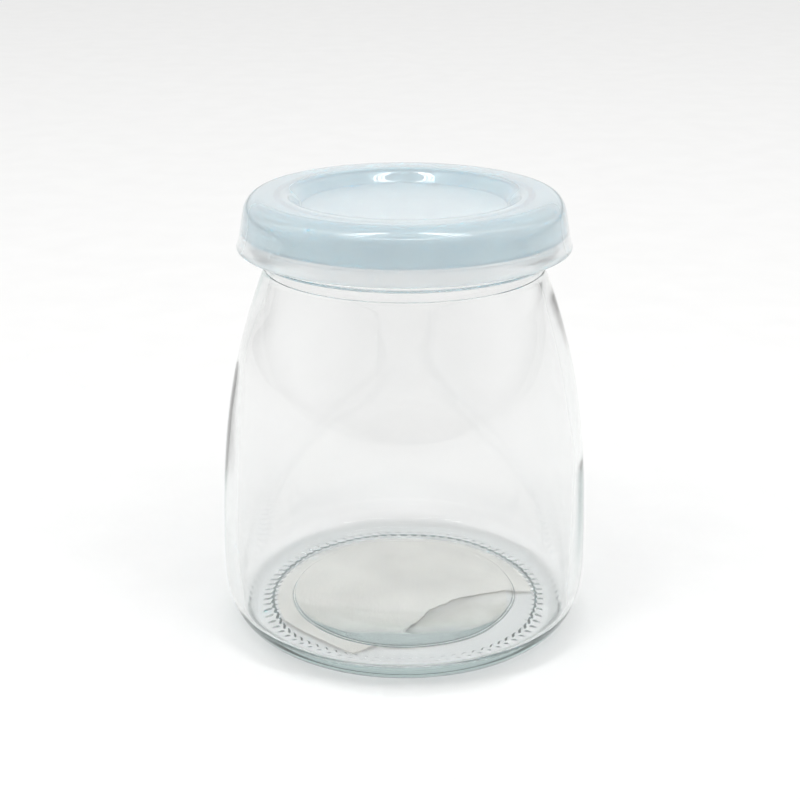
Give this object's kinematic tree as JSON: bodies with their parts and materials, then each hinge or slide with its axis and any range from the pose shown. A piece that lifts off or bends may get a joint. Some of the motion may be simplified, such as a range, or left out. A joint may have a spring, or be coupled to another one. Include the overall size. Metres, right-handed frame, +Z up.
{
  "type": "glass jar",
  "caption": "Clear bell-shaped glass jar with a knurled base, a torn paper label beneath it and a shallow push-on plastic lid.",
  "frame": {"origin": "centre of the bearing ring under the base, on the surface the jar stands on", "axes": "+Z up along the jar's axis, towards the lid; the label's corner lies towards -Y"},
  "size_m": [0.072, 0.072, 0.086],
  "materials": {
    "glass": "clear, polished, faint green-blue tint where it is thick",
    "lid_plastic": "soft translucent pale blue, satin",
    "paper": "matte white"
  },
  "bodies": {
    "root": {"jar": "glass", "lid": "lid_plastic", "label": "paper"}
  },
  "joints": []
}
